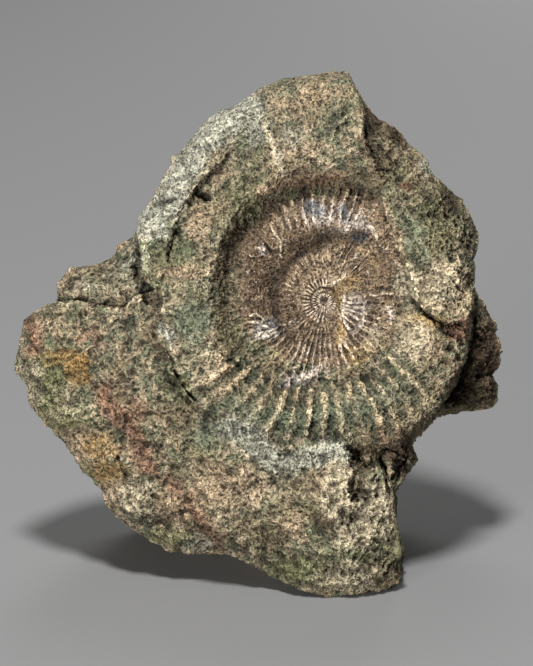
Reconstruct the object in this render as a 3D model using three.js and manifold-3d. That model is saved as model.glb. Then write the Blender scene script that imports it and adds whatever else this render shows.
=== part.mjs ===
// An ammonite fossil still held in its block of glauconitic sandstone: one natural piece.
// The shell lies in a leaning face of the block, and the block stands on a flat, broken base.
import * as THREE from "three";
import { mergeVertices } from "three/addons/utils/BufferGeometryUtils.js";
import Module from "manifold-3d";

// ---- driving dimensions, mm ----
const LEAN = THREE.MathUtils.degToRad(18); // the face leans back this far from upright
const SHELL_CENTRE = new THREE.Vector3(32.5, -1.7, 140.3); // the middle of the coil above the floor
const FIRST_SEAM = 35; // spiral seam radius where the last whorl starts
const GROWTH = 1.85; // growth of the spiral in one turn
const WHORL_HEIGHT = 0.27; // flank height as a part of the seam radius outside it
const SEAM_LEVEL = 0.46; // height of a whorl at its seam, as a part of its flank's
const FLANK_FALL = 0.15; // how far the flank falls again to its outer seam, likewise
const VENTER_WIDTH = 0.3; // width of the rounded outer side, as a part of the whorl's
const TIGHT_WALL = 0.28; // width of a whorl's inner wall, as a part of the whorl's, on its steep side
const LOOSE_WALL = 0.5; // and on the other
const STEEP_SIDE = 255; // direction of the steep side, degrees clockwise from the right
const OPEN_SEAM = 222; // the inner seam shows as a groove only round this direction
const FLAT_PATCH = { middle: [16, 16], half: [20, 17] }; // where the shell is crushed flat
const CONE_SLOPE = 0.27; // a worn coil becomes a shallow cone
const COIL_WEAR = { amount: 0.6, full: 30, gone: 42 }; // wear of the inner whorls, and its radii
const CENTRE_WEAR = { amount: 0.85, full: 14, gone: 20 }; // and of the innermost ones
const SEAM_WEAR = { amount: 1, full: 24, gone: 38 }; // and of the closed part of the seam
const OPEN_PART = [55, 95]; // degrees from the middle of the open seam to where it starts and ends closing
const STEEP_PART = [70, 125]; // the same for the steep side
const FLANK_CREST = 0.5; // where across a whorl its flank starts to fall
const BACK_TAPER = 0.1; // the block narrows by this part of its width from its face to its back
const BACK_EDGE = 9; // how far the worn edge round the back cuts in
const BACK_EDGE_START = 0.6; // and where down the side it starts
const FOOT_NARROWING = 0.1; // how much of that narrowing the foot keeps
const FOOT_SIDE = [0.2, 0.7]; // how far down a direction points where the foot's share starts, and is full
const RIM_ROUND = 9; // width of the worn rim round the face
const RIM_DROP = 6; // how far the face falls across that rim
const COIL_RADIUS = 62; // the rings are true circles out to here
const STONE = { color: 0x8b8a70, roughness: 0.92, metalness: 0 };

// grid of the surface: spokes round the coil, rings out over the face, down the side and over the back
const SPOKES = 132;
const COIL_RINGS = 17;
const FACE_RINGS = 28;
const SIDE_RINGS = 7;
const BACK_RINGS = 8;

// ---- the face of the block, as (right, up) from the middle of the coil ----
const OUTLINE = [
  // crest of the last whorl
  [-93, 41.5], [-86.5, 48], [-83, 56.5], [-75.5, 70], [-68, 79], [-58, 91], [-44.5, 97.5], [-32, 106],
  [-19.5, 111], [-7, 112.5], [2.5, 114], [10, 114.5],
  // broken end of the whorl and the shoulder right of it
  [13.5, 110], [16, 105], [21, 96.5], [27.5, 91], [37, 84.5], [44.5, 76.5], [50, 70], [54.5, 62.5],
  [62, 56], [68.5, 50], [73.5, 42.5], [77.5, 32.5], [77, 26.5], [74.5, 20.5], [75, 10.5],
  // rear slab
  [78.5, 0.5], [83.5, -4.5], [87, -12], [88.5, -19.5], [90, -26], [88.5, -33], [86.5, -38], [90, -43],
  [90, -50.5], [87, -54.5], [77.5, -56], [62.5, -57], [57, -58],
  // belly of the whorl, splinters and neck
  [49.5, -65], [42.5, -71], [44.5, -75.5], [46.5, -80.5], [42, -85.5], [36, -93], [34.5, -97],
  [35.5, -104.5], [36, -112], [38, -120.5], [40.5, -128], [39, -135.5], [37, -141],
  // foot
  [32, -143.5], [22.5, -144.5], [12.5, -147.5], [1.5, -148.5], [-7, -146], [-18, -142.5], [-27, -137.5],
  [-37, -132], [-47, -127.5], [-62, -127], [-77, -126], [-87, -121.5], [-97, -115], [-105.5, -107.5],
  // left wing
  [-110.5, -101.5], [-111.5, -95.5], [-119, -87.5], [-124, -81.5], [-129, -73], [-136.5, -65],
  [-144, -58], [-149.5, -50.5], [-149, -44], [-155, -35.5], [-155, -27], [-152, -15.5], [-151, -9.5],
  [-143, -4], [-134.5, -0.5],
  // ledge
  [-133.5, 8], [-130.5, 14], [-125.5, 17], [-115.5, 17.5], [-107, 22.5], [-100.5, 29], [-93.5, 35],
];

// Where rock covers the shell: outline, spot heights (right, up, height) and how wide its edge is.
const RIGHT_ROCK = {
  outline: [
    [11, 125], [13.5, 110], [18.5, 95], [19.5, 80], [22, 70], [29, 57], [30, 45], [33, 33], [37, 22],
    [42, 12], [43.5, 3], [50, -5], [55, -9], [63, -11], [70, -9], [73, -3], [75.5, 8], [95, 20], [95, 60],
    [60, 125],
  ],
  heights: [
    [16, 100, 13], [25, 85, 12], [40, 78, 8], [49, 66, 17], [30, 70, 16], [26, 62, 19], [34, 50, 18],
    [50, 50, 22], [65, 45, 14], [75, 30, 9], [50, 30, 24], [62, 12, 26], [48, 8, 24], [60, -8, 23],
    [73, 5, 14], [40, 35, 17],
  ],
  edge: 3,
};
const REAR_SLAB = {
  outline: [
    [72.5, 0], [76, -3], [75, -10], [74, -20], [72, -30], [67, -40], [60, -50], [55, -57], [60, -75],
    [110, -75], [110, 10], [76, 10],
  ],
  heights: [[80, -5, -20], [86, -22, -22], [84, -36, -27], [75, -30, -20], [70, -50, -29], [86, -50, -30]],
  edge: 4,
};
const LOWER_ROCK = {
  outline: [
    [-160, -0.5], [-120, 0.5], [-110, -2], [-100, -3], [-93, 2], [-84, 5], [-81, 6], [-81.5, -8],
    [-82, -20], [-78, -32], [-72, -43], [-62, -54], [-50, -60], [-38, -64], [-28, -71], [-18, -70],
    [-8, -69], [0, -69], [9, -70], [13, -76], [14.5, -84], [12, -92], [14, -99], [24, -99], [34, -98],
    [60, -104], [60, -170], [-170, -170],
  ],
  heights: [
    [-150, -30, -1], [-150, -50, -4], [-130, -70, -4], [-112, -98, -5], [-120, -20, 9], [-120, -50, 6],
    [-100, -30, 14], [-85, -15, 14], [-85, -45, 15], [-75, -60, 15], [-95, -70, 9], [-80, -90, 8],
    [-85, -118, -6], [-62, -125, -4], [-50, -100, 12], [-45, -75, 18], [-20, -75, 22], [-25, -100, 18],
    [-30, -130, 4], [0, -75, 24], [5, -95, 26], [5, -120, 19], [0, -145, 7], [20, -115, 14],
    [35, -115, 6], [36, -138, 1], [20, -138, 8], [-140, -10, 5], [-105, -8, 12],
  ],
  edge: 4,
};
const LEDGE = {
  outline: [
    [-150, 0], [-150, 30], [-120, 34], [-98, 40], [-93, 30], [-91, 12], [-84, 6], [-93, 2], [-100, -3],
    [-112, -2], [-122, 0.5],
  ],
  heights: [[-130, 5, 0], [-115, 12, 1], [-100, 20, 1], [-95, 10, 4], [-108, 3, 6], [-95, 30, 0]],
  edge: 3,
};
const NECK = {
  outline: [
    [4, -72], [24, -74], [36, -72], [46, -68], [60, -72], [60, -112], [4, -112],
  ],
  heights: [[20, -80, 13], [21, -92, 15], [32, -92, 7], [32, -78, 6], [38, -80, 1], [44, -80, -7]],
  edge: 7,
};

// Spot depths over the broken back: (right, up, how far it stands behind the middle of the coil).
const BACK = [
  [-150, -30, 34], [-120, -85, 46], [-115, 5, 34], [-80, -40, 56], [-60, -115, 57], [0, -95, 55],
  [30, -125, 57], [0, 0, 59], [-60, 30, 50], [-75, 75, 40], [60, 20, 47], [80, -35, 44], [65, 50, 40],
  [20, 70, 50], [-30, 95, 44], [10, 112, 43], [40, -60, 57],
];

// ---- small maths ----
function smooth(from, to, value) {
  return THREE.MathUtils.smoothstep(value, from, to);
}

function signedDistance(x, y, outline) {
  // distance to a closed outline, positive inside it
  let nearest = Infinity;
  let odd = false;
  outline.forEach(([ax, ay], index) => {
    const [bx, by] = outline[(index + 1) % outline.length];
    const dx = bx - ax;
    const dy = by - ay;
    const along = THREE.MathUtils.clamp(((x - ax) * dx + (y - ay) * dy) / (dx * dx + dy * dy), 0, 1);
    nearest = Math.min(nearest, Math.hypot(x - ax - along * dx, y - ay - along * dy));
    if (ay > y !== by > y && x < ax + ((y - ay) * dx) / dy) odd = !odd;
  });
  return odd ? nearest : -nearest;
}

function spotHeight(x, y, spots) {
  // a smooth surface through spot heights
  const SPREAD = 60;
  let total = 0;
  let weights = 0;
  for (const [sx, sy, height] of spots) {
    const weight = 1 / ((x - sx) ** 2 + (y - sy) ** 2 + SPREAD) ** 2;
    total += weight * height;
    weights += weight;
  }
  return total / weights;
}

// ---- the shell ----
function seamRadius(turns) {
  return FIRST_SEAM * GROWTH ** turns;
}

function turnedFrom(turn, degrees) {
  // how many degrees a part of a turn lies from a direction
  return Math.abs(THREE.MathUtils.euclideanModulo(360 * turn - degrees + 180, 360) - 180);
}

function flatPatch(x, y) {
  // 1 in the middle of the crushed patch, falling to 0 outside it
  const across = (x - FLAT_PATCH.middle[0]) / FLAT_PATCH.half[0];
  const up = (y - FLAT_PATCH.middle[1]) / FLAT_PATCH.half[1];
  return Math.exp(-(Math.hypot(across, up) ** 3));
}

function wear(x, y, radius, turn) {
  // how far the coil is worn or crushed at a place, from 0 to 1
  const within = ({ amount, full, gone }) => amount * (1 - smooth(full, gone, radius));
  const closedSeam = smooth(...OPEN_PART, turnedFrom(turn, OPEN_SEAM)) * within(SEAM_WEAR);
  return Math.max(flatPatch(x, y), closedSeam, within(CENTRE_WEAR), within(COIL_WEAR));
}

function shellHeight(x, y) {
  // whorls of a logarithmic spiral: each rises from its seam by a wall to a broad flank
  const radius = Math.max(Math.hypot(x, y), 0.01);
  const turn = THREE.MathUtils.euclideanModulo(Math.atan2(-y, x) / (2 * Math.PI), 1);
  const whorl = Math.min(Math.floor(Math.log(radius / FIRST_SEAM) / Math.log(GROWTH) - turn), 0);
  const inner = seamRadius(whorl + turn);
  const outer = seamRadius(whorl + 1 + turn);
  const across = (radius - inner) / (outer - inner);
  const loose = smooth(...STEEP_PART, turnedFrom(turn, STEEP_SIDE));
  const wallWidth = THREE.MathUtils.lerp(TIGHT_WALL, LOOSE_WALL, loose);
  const wall = THREE.MathUtils.lerp(SEAM_LEVEL, 1, smooth(0, wallWidth, across));
  const flank = wall - FLANK_FALL * smooth(FLANK_CREST, 1, across);
  const past = Math.max((across - 1) / VENTER_WIDTH, 0);
  const curve = 1 - Math.sqrt(Math.max(1 - past * past, 0));
  const venter = (1 - FLANK_FALL) * (curve + THREE.MathUtils.clamp(past - 1, 0, 1));
  const coil = WHORL_HEIGHT * outer * (flank - venter);
  return THREE.MathUtils.lerp(coil, CONE_SLOPE * radius, wear(x, y, radius, turn));
}

// ---- the whole face ----
function cover(height, x, y, rock) {
  const amount = smooth(-rock.edge / 2, rock.edge / 2, signedDistance(x, y, rock.outline));
  return amount > 0 ? THREE.MathUtils.lerp(height, spotHeight(x, y, rock.heights), amount) : height;
}

function faceHeight(x, y, fromRim) {
  let height = shellHeight(x, y);
  for (const rock of [REAR_SLAB, NECK, LEDGE, LOWER_ROCK, RIGHT_ROCK]) height = cover(height, x, y, rock);
  const worn = 1 - smooth(0, RIM_ROUND, fromRim);
  return height - RIM_DROP * worn * worn;
}

// ---- the block ----
function outlineRadius(direction) {
  // how far the outline lies from the middle of the coil, in the direction given
  const dx = Math.cos(direction);
  const dy = Math.sin(direction);
  let reach = 0;
  OUTLINE.forEach(([ax, ay], index) => {
    const [bx, by] = OUTLINE[(index + 1) % OUTLINE.length];
    const side = dx * (by - ay) - dy * (bx - ax);
    if (Math.abs(side) < 1e-9) return;
    const distance = (ax * (by - ay) - ay * (bx - ax)) / side;
    const along = (ax * dy - ay * dx) / side;
    if (distance > 0 && along >= 0 && along <= 1) reach = Math.max(reach, distance);
  });
  return reach;
}

function narrowing(direction) {
  // the block narrows to its back everywhere but at the foot, which keeps its width to stand on
  return 1 - (1 - FOOT_NARROWING) * smooth(...FOOT_SIDE, -Math.sin(direction));
}

function backRadius(direction) {
  // the back is smaller and smoother than the face, and never shows past it
  const narrow = narrowing(direction);
  const STEP = THREE.MathUtils.degToRad(6);
  const SIDEWAYS = [-2, -1, 0, 1, 2];
  const around = SIDEWAYS.map((step) => outlineRadius(direction + step * STEP));
  const mean = around.reduce((sum, radius) => sum + radius) / around.length;
  return Math.min(mean, outlineRadius(direction)) * (1 - BACK_TAPER * narrow) - BACK_EDGE * narrow;
}

function backHeight(x, y) {
  // an almost upright back, given as height over the leaning face plane
  return (y * Math.sin(LEAN) - spotHeight(x, y, BACK)) / Math.cos(LEAN);
}

function faceRadius(ring, rim) {
  if (ring <= COIL_RINGS) return (COIL_RADIUS * ring) / COIL_RINGS;
  return THREE.MathUtils.lerp(COIL_RADIUS, rim, (ring - COIL_RINGS) / (FACE_RINGS - COIL_RINGS));
}

function surfacePoint(ring, direction) {
  // one point of the rock's skin: over the face, then down the side, then over the back
  const rim = outlineRadius(direction);
  const rear = backRadius(direction);
  const at = (radius) => [radius * Math.cos(direction), radius * Math.sin(direction)];
  if (ring <= FACE_RINGS) {
    const radius = faceRadius(ring, rim);
    return [...at(radius), faceHeight(...at(radius), rim - radius)];
  }
  if (ring < FACE_RINGS + SIDE_RINGS) {
    const down = (ring - FACE_RINGS) / SIDE_RINGS;
    const edge = smooth(BACK_EDGE_START, 1, down);
    const wall = rim * (1 - BACK_TAPER * narrowing(direction) * down);
    const radius = THREE.MathUtils.lerp(wall, rear, edge);
    const height = THREE.MathUtils.lerp(faceHeight(...at(rim), 0), backHeight(...at(rear)), down);
    return [...at(radius), height];
  }
  const radius = rear * (1 - (ring - FACE_RINGS - SIDE_RINGS) / BACK_RINGS);
  return [...at(radius), backHeight(...at(radius))];
}

function leaningToWorld([x, y, height]) {
  return new THREE.Vector3(
    x,
    y * Math.sin(LEAN) - height * Math.cos(LEAN),
    y * Math.cos(LEAN) + height * Math.sin(LEAN),
  ).add(SHELL_CENTRE);
}

function blockGeometry() {
  // a sphere's grid with its pole at the middle of the coil, each point moved to its place on the rock
  const rings = FACE_RINGS + SIDE_RINGS + BACK_RINGS;
  const geometry = new THREE.SphereGeometry(1, SPOKES, rings);
  geometry.deleteAttribute("normal");
  geometry.deleteAttribute("uv");
  const places = geometry.attributes.position;
  for (let index = 0; index < places.count; index++) {
    const ring = Math.floor(index / (SPOKES + 1));
    const atPole = ring % rings === 0; // where all the spokes meet
    const spoke = atPole ? 0 : index % (SPOKES + 1) % SPOKES;
    const point = leaningToWorld(surfacePoint(ring, (2 * Math.PI * spoke) / SPOKES));
    places.setXYZ(index, point.x, point.y, point.z);
  }
  return mergeVertices(geometry, 1e-3);
}

// ---- the flat base ----
const wasm = await Module();
wasm.setup();

function toSolid(geometry) {
  const vertProperties = new Float32Array(geometry.attributes.position.array);
  const triVerts = new Uint32Array(geometry.index.array);
  return new wasm.Manifold(new wasm.Mesh({ numProp: 3, vertProperties, triVerts }));
}

function toGeometry(solid) {
  const mesh = solid.getMesh();
  const geometry = new THREE.BufferGeometry();
  geometry.setAttribute("position", new THREE.BufferAttribute(mesh.vertProperties, 3));
  geometry.setIndex(new THREE.BufferAttribute(mesh.triVerts, 1));
  return geometry;
}

function belowFloor() {
  const SIZE = 600;
  const box = new THREE.BoxGeometry(SIZE, SIZE, SIZE);
  box.translate(0, 0, -SIZE / 2);
  box.deleteAttribute("normal");
  box.deleteAttribute("uv");
  return mergeVertices(box);
}

const block = toGeometry(toSolid(blockGeometry()).subtract(toSolid(belowFloor())));
block.computeVertexNormals();

const fossil = new THREE.Mesh(block, new THREE.MeshStandardMaterial(STONE));
fossil.name = "ammonite_fossil";

const group = new THREE.Group();
group.add(fossil);
export default group;
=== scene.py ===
"""An ammonite fossil in its block of green-grey sandstone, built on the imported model's frame."""
import math

import bmesh
import bpy
import numpy as np
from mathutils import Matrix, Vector


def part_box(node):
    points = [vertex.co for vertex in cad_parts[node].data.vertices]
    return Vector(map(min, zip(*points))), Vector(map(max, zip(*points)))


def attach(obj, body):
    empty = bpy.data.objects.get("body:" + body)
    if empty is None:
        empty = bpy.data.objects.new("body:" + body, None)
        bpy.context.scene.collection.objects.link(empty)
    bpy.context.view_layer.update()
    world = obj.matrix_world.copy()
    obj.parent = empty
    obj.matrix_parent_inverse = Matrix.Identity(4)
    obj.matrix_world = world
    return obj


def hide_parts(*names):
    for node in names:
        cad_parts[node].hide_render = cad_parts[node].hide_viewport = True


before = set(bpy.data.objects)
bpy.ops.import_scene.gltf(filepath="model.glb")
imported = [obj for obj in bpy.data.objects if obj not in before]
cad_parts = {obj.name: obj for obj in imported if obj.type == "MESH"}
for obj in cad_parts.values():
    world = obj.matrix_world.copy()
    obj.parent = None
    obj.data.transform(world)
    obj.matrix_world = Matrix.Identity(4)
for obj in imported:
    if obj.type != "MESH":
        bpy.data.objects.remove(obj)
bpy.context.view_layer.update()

# ---------------------------------------------------------------------------------------------
# The block of stone
# A lump of glauconitic sandstone, split so that the shell lies open in one leaning face. It stands
# on a flat break. Its places are given in mm on that face: right and up from the middle of the
# coil, and height out of the face.
# ---------------------------------------------------------------------------------------------
MM = 0.001
LEAN = math.radians(18)
COIL_FROM_BOX = (32.5, -1.7, 140.3)  # from the middle of the model's base
low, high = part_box("ammonite_fossil")
coil_centre = np.array([
    (low[0] + high[0]) / 2 + COIL_FROM_BOX[0] * MM,
    (low[1] + high[1]) / 2 + COIL_FROM_BOX[1] * MM,
    low[2] + COIL_FROM_BOX[2] * MM,
])

BLOCK_OUTLINE = [
    # crest of the last whorl
    (-93, 41.5), (-86.5, 48), (-83, 56.5), (-75.5, 70), (-68, 79), (-58, 91), (-44.5, 97.5), (-32, 106),
    (-19.5, 111), (-7, 112.5), (2.5, 114), (10, 114.5),
    # broken end of the whorl and the shoulder right of it
    (13.5, 110), (16, 105), (21, 96.5), (27.5, 91), (37, 84.5), (44.5, 76.5), (50, 70), (54.5, 62.5),
    (62, 56), (68.5, 50), (73.5, 42.5), (77.5, 32.5), (77, 26.5), (74.5, 20.5), (75, 10.5),
    # rear slab
    (78.5, 0.5), (83.5, -4.5), (87, -12), (88.5, -19.5), (90, -26), (88.5, -33), (86.5, -38), (90, -43),
    (90, -50.5), (87, -54.5), (77.5, -56), (62.5, -57), (57, -58),
    # belly of the whorl, splinters and neck
    (49.5, -65), (42.5, -71), (44.5, -75.5), (46.5, -80.5), (42, -85.5), (36, -93), (34.5, -97),
    (35.5, -104.5), (36, -112), (38, -120.5), (40.5, -128), (39, -135.5), (37, -141),
    # foot
    (32, -143.5), (22.5, -144.5), (12.5, -147.5), (1.5, -148.5), (-7, -146), (-18, -142.5), (-27, -137.5),
    (-37, -132), (-47, -127.5), (-62, -127), (-77, -126), (-87, -121.5), (-97, -115), (-105.5, -107.5),
    # left wing
    (-110.5, -101.5), (-111.5, -95.5), (-119, -87.5), (-124, -81.5), (-129, -73), (-136.5, -65),
    (-144, -58), (-149.5, -50.5), (-149, -44), (-155, -35.5), (-155, -27), (-152, -15.5), (-151, -9.5),
    (-143, -4), (-134.5, -0.5),
    # ledge
    (-133.5, 8), (-130.5, 14), (-125.5, 17), (-115.5, 17.5), (-107, 22.5), (-100.5, 29), (-93.5, 35),
]

# ---------------------------------------------------------------------------------------------
# The shell
# A coil of five whorls, each rising from its seam by a steep wall to a broad, ribbed flank. The
# inner whorls keep their brown shell and some mother-of-pearl; the last one is a cast in stone.
# ---------------------------------------------------------------------------------------------
FIRST_SEAM = 35  # radius in mm of the last whorl's inner seam, at the right
GROWTH = 1.85  # how many times wider the coil gets in a turn
WHORL_HEIGHT = 0.27  # of a whorl's outer radius
EYE_RADIUS = 1.9
EYE_DEPTH = 1.6
# fields of ribs: whorl from the last inwards, middle and half width in degrees clockwise from the
# right, how far across the whorl they run, ribs in a full turn, and height in mm
RIB_FIELDS = (
    (0, 92, 56, (0.0, 1.1), 45, 2.1), (0, 215, 62, (0.1, 1.0), 45, 0.35),
    (0, 15, 20, (0.1, 1.0), 45, 0.35), (0, 235, 34, (0.85, 1.6), 130, 0.7),
    (0, 268, 22, (0.55, 1.0), 62, 0.6), (-1, 268, 26, (0.3, 1.0), 62, 1.8),
    (-1, 122, 42, (-0.2, 1.0), 58, 0.9), (-1, 57, 22, (0.0, 0.8), 52, 1.3),
    (-1, 12, 24, (0.0, 0.6), 46, 0.7), (-1, 205, 28, (0.2, 0.9), 50, 0.5),
    (-1, 330, 34, (0.0, 1.0), 70, 0.4), (-2, 20, 34, (0.0, 1.0), 40, 1.3),
    (-2, 108, 44, (0.0, 1.2), 54, 0.7), (-2, 250, 86, (0.1, 0.8), 50, 0.5),
    (-3, 180, 200, (0.3, 1.0), 44, 0.3), (-2, 215, 120, (0.0, 1.1), 112, 0.3),
    (-2, 330, 40, (0.0, 1.1), 96, 0.35), (-1, 320, 70, (0.1, 1.0), 150, 0.3),
    (-1, 180, 60, (0.2, 1.0), 130, 0.25),
)
FIELD_EDGE = 6  # degrees over which a field of ribs rises to its full height
RIB_WIDTH = 0.23  # half width of a rib's crest, as a part of the spacing
RIB_SINK = 0.4  # how far the furrow between ribs is cut below the shell, as a part of their height
RIB_START = 0.75  # puts the ribs in their places round the coil
RIB_BEND = 0.5  # how strongly the ribs curve
RIB_ENDS = (0.16, 0.1)  # parts of the whorl's width over which ribs rise and die away
RIB_LEFT = (0.88, 0.65)  # the part of a rib that wear has left, and how much that varies
RIB_STRAY = (0.2, 0.06)  # how far ribs stray from even spacing, over some way and from rib to rib
STRAY_LUMP = 12  # on the last whorl, in mm, and so much less on each whorl inside it:
WHORL_SHRINK = 0.55
BEAD_FADE = 15  # degrees over which a ring of beads dies away
BEAD_LEVEL = 0.25  # how far the gaps between beads are filled
# rings of beads round the eye: radius, half width, beads, height in mm, and the direction (degrees
# clockwise from the right) and half width of the part that is left
BEAD_RINGS = (
    (3.1, 0.7, 20, 0.6, 90, 200), (5.3, 0.75, 27, 0.5, 120, 130), (9.2, 2.0, 34, 0.8, 185, 105),
)
# grooves round the eye: radius, half width and depth in mm
EYE_GROOVES = ((4.3, 0.4, 0.6), (6.8, 0.5, 0.8))
SEAM_LEVEL = 0.46  # height of a whorl at its seam, as a part of its flank's
FLANK_FALL = 0.15  # and how much of it the flank falls towards the outer side
VENTER_WIDTH = 0.3  # the whorl's rounded outer side, as a part of its width
TIGHT_WALL = 0.28  # width of a whorl's inner wall, as a part of the whorl's, on its steep side
LOOSE_WALL = 0.5  # and on the other
STEEP_SIDE = 255  # degrees clockwise from the right
LOOSENS = (70, 125)  # degrees from the steep side over which the wall widens
OPEN_SEAM = 222  # the inner seam is a groove only round this direction
SEAM_CLOSES = (55, 95)  # degrees from there over which it closes
FOLD_WANDER = 0.8  # how far folds stray from their lines, in mm
FOLD_TIP = 0.4  # height of a fold at its tips, as a part of its middle's
FOLD_ENDS = 0.08
FLAT_PATCH = ((16, 16), (20, 17))  # middle and half size of the crushed patch
CONE_SLOPE = 0.27  # where the coil is worn it becomes a shallow cone
SEAM_WORN_TO = (24, 38)  # radii between which the seam's wear ends
CENTRE_WEAR = 0.85
CENTRE_WORN_TO = (14, 20)
COIL_WEAR = 0.6
COIL_WORN_TO = (30, 42)
# folds and splinters of the shell: line, half width and height in mm (below zero for a groove)
FOLDS = (
    ([(-2, 7), (4, 7.5), (7.5, 10.5), (12, 13.5)], 0.6, 0.9),
    ([(3, 6), (7, -2), (9, -10), (13, -19)], 0.7, -0.5),
    ([(9.3, 3), (8.6, -3), (9.4, -9), (12.5, -16.5)], 0.6, 0.8),
    ([(12.5, -16.5), (16.5, -16.5), (20.5, -8), (20, 4)], 0.6, 0.6),
    ([(5.5, 3), (7, -5), (9, -13)], 0.5, 0.4),
    ([(-23, -9), (-25, 3), (-21, 15), (-11, 24), (2, 30)], 2.2, -1.3),
    ([(21, -0.5), (30, -1)], 0.5, -1.2), ([(25, 6.5), (31, 5.5)], 0.5, -0.9),
    ([(31, -2), (34, -7), (32.5, -12.5)], 0.8, 0.7),
    ([(-33, 26.5), (-28.5, 26)], 1.2, 1.4), ([(-29, 29), (-25.5, 23.5)], 0.5, -1.2),
    ([(-28, 38), (-23, 31), (-21, 22), (-22.5, 20)], 0.6, 1.1), ([(-33, 37), (-30, 33.5)], 0.5, 0.9),
    ([(-31, 23), (-37, 21.5), (-38, 24)], 0.6, 0.9),
    ([(-37.5, -8), (-34, -6), (-31, -7.5), (-30, -9.5)], 0.5, 1.0),
    ([(-38, -11.5), (-33, -11.2), (-27, -13)], 0.7, 0.9), ([(-34, -8.6), (-31.5, -8.2)], 0.7, -1.2),
    ([(-34, -17), (-26, -14.5)], 0.6, 1.0), ([(-32, -19), (-23, -15.5)], 0.6, 1.0),
    ([(-48, -29), (-43, -31), (-42, -35)], 0.9, -2.2), ([(-44, -27.5), (-40, -31), (-42, -37)], 0.7, 1.2),
    ([(-14, -39), (-7, -38), (-1, -31.5)], 1.5, 1.4), ([(-22, -36), (-22.5, -44)], 0.7, 1.0),
    ([(-17, -38), (-17.5, -43)], 0.7, 1.0), ([(-12, -41), (-12, -45)], 0.7, 0.9),
    ([(13, 38.5), (10, 34)], 0.8, 1.0), ([(22, 37), (26, 30)], 1.0, 1.3),
    ([(14, 33), (20, 33.5)], 2.2, -1.2),
    ([(8, 51), (20, 52)], 0.6, 0.8), ([(-31, 89), (-27, 80), (-24, 70), (-21.5, 62)], 2.0, 1.8),
    ([(12, 92), (6, 86), (3, 78)], 1.0, 1.2), ([(-12, 84), (-4, 77)], 0.5, 0.5),
    ([(-8, 88), (-3, 79), (2, 76)], 0.5, 0.5),
)


def ease(start, end, value):
    """0 below start, 1 above end, and a smooth rise between."""
    part = np.clip((value - start) / (end - start), 0, 1)
    return part * part * (3 - 2 * part)


def along_line(x, y, points, closed=False):
    """Distance to a line of points, and how far along it the nearest place is, from 0 to 1."""
    corners = np.array(points, float)
    if closed:
        corners = np.vstack([corners, corners[:1]])
    lengths = np.hypot(*(corners[1:] - corners[:-1]).T)
    travelled = np.concatenate([[0], np.cumsum(lengths)])
    nearest = np.full(x.shape, np.inf)
    along = np.zeros(x.shape)
    for index, (start, step) in enumerate(zip(corners[:-1], corners[1:] - corners[:-1])):
        part = np.clip(((x - start[0]) * step[0] + (y - start[1]) * step[1]) / (step @ step), 0, 1)
        distance = np.hypot(x - start[0] - part * step[0], y - start[1] - part * step[1])
        closer = distance < nearest
        nearest = np.where(closer, distance, nearest)
        along = np.where(closer, (travelled[index] + part * lengths[index]) / travelled[-1], along)
    return nearest, along


def tapered(part, share):
    """1 along a line, easing to 0 over a share of it at each end."""
    return ease(0, share, part) * (1 - ease(1 - share, 1, part))


def scatter(ix, iy, iz, seed):
    """A fixed pseudo-random number from 0 to 1 for each whole-numbered place."""
    mixed = (ix * 374761393 + iy * 668265263 + iz * 1274126177 + seed * 974634777) & 0xFFFFFFFF
    mixed = ((mixed ^ (mixed >> 13)) * 1274126177) & 0xFFFFFFFF
    mixed = ((mixed ^ (mixed >> 16)) * 2246822519) & 0xFFFFFFFF
    return ((mixed ^ (mixed >> 15)) & 0xFFFFFF).astype(np.float32) / np.float32(0xFFFFFF)


def lump(place, size, seed):
    """Smooth noise from -1 to 1 whose lumps are about size mm across."""
    cells = [np.floor(axis / size).astype(np.int64) for axis in place]
    parts = [(axis / size - cell).astype(np.float32) for axis, cell in zip(place, cells)]
    eased = [part * part * (3 - 2 * part) for part in parts]
    total = 0
    for corner in np.ndindex(2, 2, 2):
        weight = 1
        for side, part in zip(corner, eased):
            weight = weight * (part if side else 1 - part)
        total = total + weight * scatter(*(cell + side for cell, side in zip(cells, corner)), seed)
    return 2 * total - 1


def lumps(place, size, seed, layers=2):
    """Noise of several sizes, each half as big and half as strong as the last."""
    total = 0
    for layer in range(layers):
        turned = (place[0] + 0.37 * place[1], place[1] - 0.37 * place[0] + 5.3 * layer, place[2])
        total = total + 0.5 ** layer * lump(turned, size * 0.49 ** layer, seed + 17 * layer)
        place = turned
    return total / (2 - 0.5 ** (layers - 1))


def whorl_place(x, y):
    """Where places lie on the coil: radius, part of a turn clockwise from the right, whorl from the
    last inwards, how far across it, and the radius of its outer seam."""
    radius = np.maximum(np.hypot(x, y), 0.01)
    turn = (np.arctan2(-y, x) / (2 * math.pi)) % 1.0
    whorl = np.minimum(np.floor(np.log(radius / FIRST_SEAM) / math.log(GROWTH) - turn), 0)
    inner = FIRST_SEAM * GROWTH ** (whorl + turn)
    outer = inner * GROWTH
    return radius, turn, whorl, (radius - inner) / (outer - inner), outer


def turned_from(turn, degrees):
    """How many degrees a part of a turn lies from a direction."""
    return np.abs((360 * turn - degrees + 180) % 360 - 180)


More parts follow.
